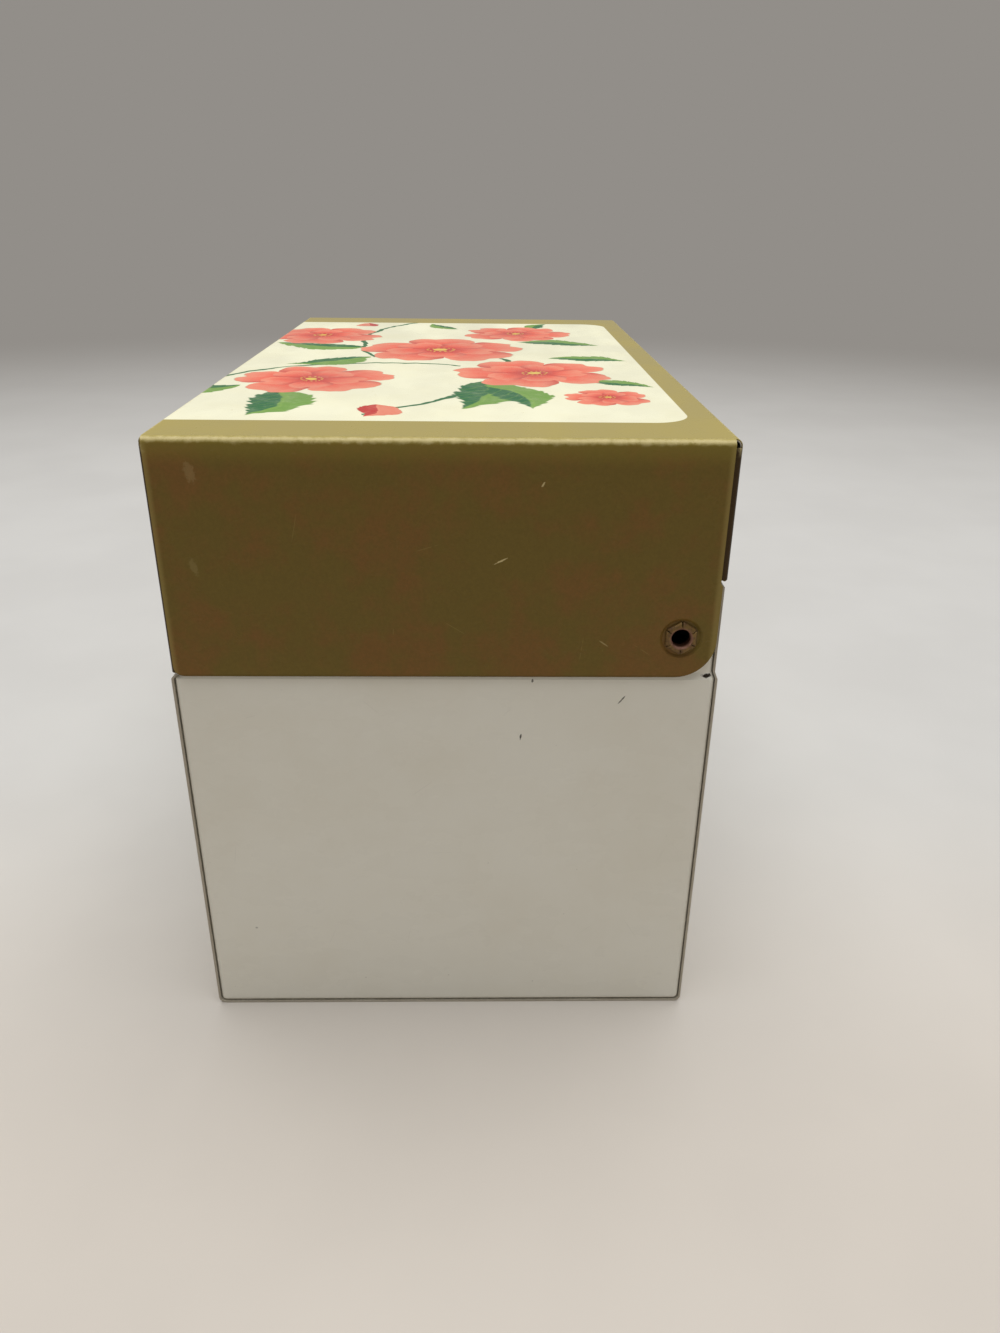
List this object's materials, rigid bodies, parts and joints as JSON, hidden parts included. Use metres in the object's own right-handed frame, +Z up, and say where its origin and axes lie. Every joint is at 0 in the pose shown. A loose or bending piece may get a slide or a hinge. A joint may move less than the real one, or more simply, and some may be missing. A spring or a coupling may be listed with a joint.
{
  "type": "recipe card box",
  "caption": "Folded tinplate box for recipe cards, with a deep lid that turns on tubular eyelets near its rear lower corners.",
  "frame": {"origin": "middle of the underside, on the surface that the box stands on", "axes": "+X towards the right end as seen from the front, -Y out of the front, +Y out of the hinged rear, +Z up"},
  "size_m": [0.1368, 0.0774, 0.0948],
  "materials": {
    "base_enamel": "glossy off-white enamel on tinplate",
    "lid_enamel": "glossy olive enamel with a printed cream panel, on tinplate",
    "eyelet_metal": "tarnished and a little rusty"
  },
  "bodies": {
    "base": {"base_wrap": "base_enamel", "base_end_right": "base_enamel", "base_end_left": "base_enamel", "hinge_eyelet_right": "eyelet_metal", "hinge_eyelet_left": "eyelet_metal"},
    "lid": {"lid_shell": "lid_enamel"}
  },
  "joints": [
    {"name": "lid_hinge", "type": "hinge", "parent": "base", "child": "lid", "pos_m": [0, 0.0328, 0.0673], "axis": [-1, 0, 0], "range_deg": [0, 107]}
  ]
}
